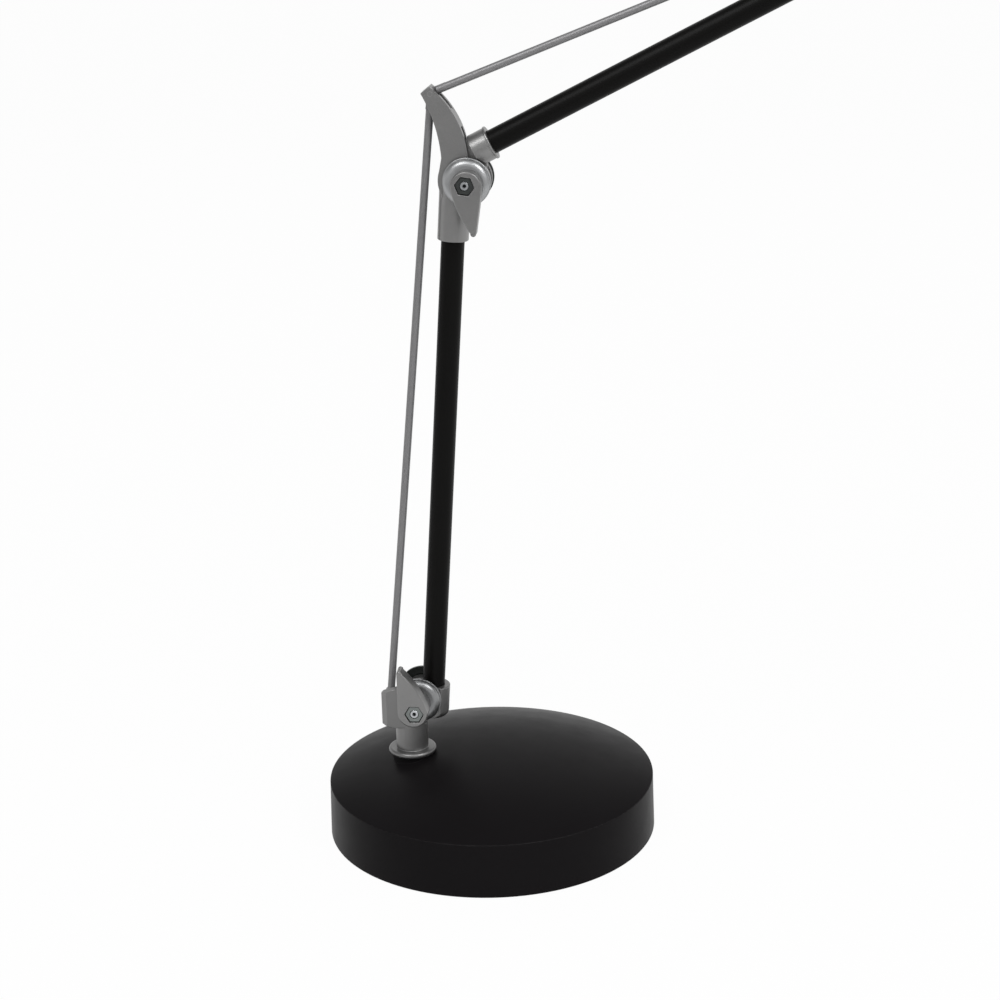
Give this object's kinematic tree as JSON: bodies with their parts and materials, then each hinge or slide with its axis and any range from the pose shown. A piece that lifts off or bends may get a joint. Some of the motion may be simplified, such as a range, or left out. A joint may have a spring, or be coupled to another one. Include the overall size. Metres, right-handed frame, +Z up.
{
  "type": "counterweight balance desk lamp",
  "caption": "Desk lamp with a domed round base, a swivelling post, a two-part arm of black tubes with thin link rods, lever-clamped joints and a bell-shaped shade.",
  "frame": {"origin": "centre of the foot sheet's underside, where the lamp stands on the desk", "axes": "+Z up, -Z out of the foot's flat face; +X the way the arm reaches, to the right in the picture; +Y away from the clamp levers, to the back of the lamp"},
  "size_m": [0.5698, 0.223, 0.6249],
  "materials": {
    "black_paint": "satin black paint",
    "tube_paint": "satin black paint",
    "silver_paint": "satin silver-grey paint",
    "rod_steel": "drawn steel",
    "plated_steel": "bright zinc plate",
    "dark_washer": "satin dark grey",
    "pin_steel": "ground steel",
    "ballast_steel": "raw plate",
    "cover_sheet": "black coated sheet",
    "foot_rubber": "matt",
    "grommet_rubber": "matt",
    "slip_washer": "natural nylon",
    "knob_plastic": "fine matt grain",
    "shade_paint": "satin black outside",
    "socket_plastic": "moulded",
    "bulb_metal": "bright",
    "bulb_glass": "frosted",
    "switch_plastic": "moulded"
  },
  "bodies": {
    "base": {"base_shell": "black_paint", "base_ballast": "ballast_steel", "base_cover": "cover_sheet", "base_foot": "foot_rubber", "base_cover_screws": "plated_steel", "cord_grommet": "grommet_rubber"},
    "post": {"post_casting": "silver_paint", "swivel_stud": "plated_steel", "swivel_washer": "plated_steel", "swivel_nut": "plated_steel", "base_joint_bolt": "plated_steel", "base_joint_front_washer": "silver_paint", "base_joint_rear_washer": "dark_washer", "base_joint_thrust_washers": "slip_washer", "lower_link_pin": "pin_steel"},
    "base_lever": {"base_joint_lever": "silver_paint", "base_joint_nut": "plated_steel"},
    "lower_arm": {"lower_knuckle": "silver_paint", "lower_tube": "tube_paint", "elbow_casting": "silver_paint", "elbow_bolt": "plated_steel", "elbow_front_washer": "silver_paint", "elbow_rear_washer": "dark_washer"},
    "upper_lever": {"elbow_lever": "silver_paint", "elbow_nut": "plated_steel"},
    "horn_body": {"horn": "silver_paint", "horn_link_pin": "pin_steel", "elbow_thrust_washers": "slip_washer"},
    "lower_link": {"lower_rod": "rod_steel"},
    "upper_arm": {"upper_knuckle": "silver_paint", "upper_tube": "tube_paint", "outer_knuckle": "silver_paint"},
    "upper_link": {"upper_rod": "rod_steel"},
    "head_bracket": {"bracket_front_plate": "silver_paint", "bracket_rear_plate": "silver_paint", "bracket_spacer": "plated_steel", "bracket_link_pin": "pin_steel", "outer_pivot_bolt": "plated_steel", "outer_pivot_nut": "plated_steel", "head_pivot_screw": "plated_steel"},
    "knob": {"head_knob": "knob_plastic"},
    "head": {"head_tab": "silver_paint", "socket_cover": "shade_paint", "shade": "shade_paint", "lamp_socket": "socket_plastic", "bulb_cap": "bulb_metal", "bulb_glass": "bulb_glass", "switch_housing": "switch_plastic"},
    "button": {"switch_button": "switch_plastic"}
  },
  "joints": [
    {"name": "post_swivel", "type": "hinge", "parent": "base", "child": "post", "pos_m": [-0.052, -0.0116, 0.0578], "axis": [0, 0, 1], "range_deg": [-170, 170]},
    {"name": "base_lever_turn", "type": "hinge", "parent": "post", "child": "base_lever", "pos_m": [-0.0468, 0, 0.0947], "axis": [0, 1, 0], "range_deg": [-75, 0]},
    {"name": "lower_tilt", "type": "hinge", "parent": "post", "child": "lower_arm", "pos_m": [-0.0468, 0, 0.0947], "axis": [0, 1, 0], "range_deg": [-10, 30]},
    {"name": "elbow_lever_turn", "type": "hinge", "parent": "lower_arm", "child": "upper_lever", "pos_m": [-0.00453, 0, 0.44425], "axis": [0, 1, 0], "range_deg": [-75, 0]},
    {"name": "horn_link", "type": "hinge", "parent": "lower_arm", "child": "horn_body", "pos_m": [-0.00453, 0, 0.44425], "axis": [0, 1, 0], "range_deg": [-19, 6.5]},
    {"name": "lower_rod_link", "type": "hinge", "parent": "horn_body", "child": "lower_link", "pos_m": [-0.02633, 0, 0.49835], "axis": [0, 1, 0], "range_deg": [-6, 16.5]},
    {"name": "upper_tilt", "type": "hinge", "parent": "horn_body", "child": "upper_arm", "pos_m": [-0.00453, 0, 0.44425], "axis": [0, 1, 0], "range_deg": [-3, 26]},
    {"name": "upper_rod_link", "type": "hinge", "parent": "horn_body", "child": "upper_link", "pos_m": [-0.02633, 0, 0.49835], "axis": [0, 1, 0], "range_deg": [-3, 26]},
    {"name": "bracket_link", "type": "hinge", "parent": "upper_arm", "child": "head_bracket", "pos_m": [0.30822, 0, 0.56431], "axis": [0, 1, 0], "range_deg": [-26, 3]},
    {"name": "head_tilt", "type": "hinge", "parent": "head_bracket", "child": "head", "pos_m": [0.36422, 0, 0.55431], "axis": [0, 1, 0], "range_deg": [-50, 35]},
    {"name": "knob_turn", "type": "hinge", "parent": "head_bracket", "child": "knob", "pos_m": [0.36422, 0, 0.55431], "axis": [0, 1, 0], "range_deg": [0, 120]},
    {"name": "switch_press", "type": "slide", "parent": "head", "child": "button", "axis": [0.9781, 0, 0.2079], "range_m": [0, 0.002], "stiffness_N_per_m": 400}
  ],
  "couplings": [
    {"joint": "horn_link", "follows": "lower_tilt", "ratio": -0.608},
    {"joint": "lower_rod_link", "follows": "lower_tilt", "ratio": 0.52},
    {"joint": "upper_rod_link", "follows": "upper_tilt", "ratio": 1},
    {"joint": "bracket_link", "follows": "upper_tilt", "ratio": -1}
  ]
}
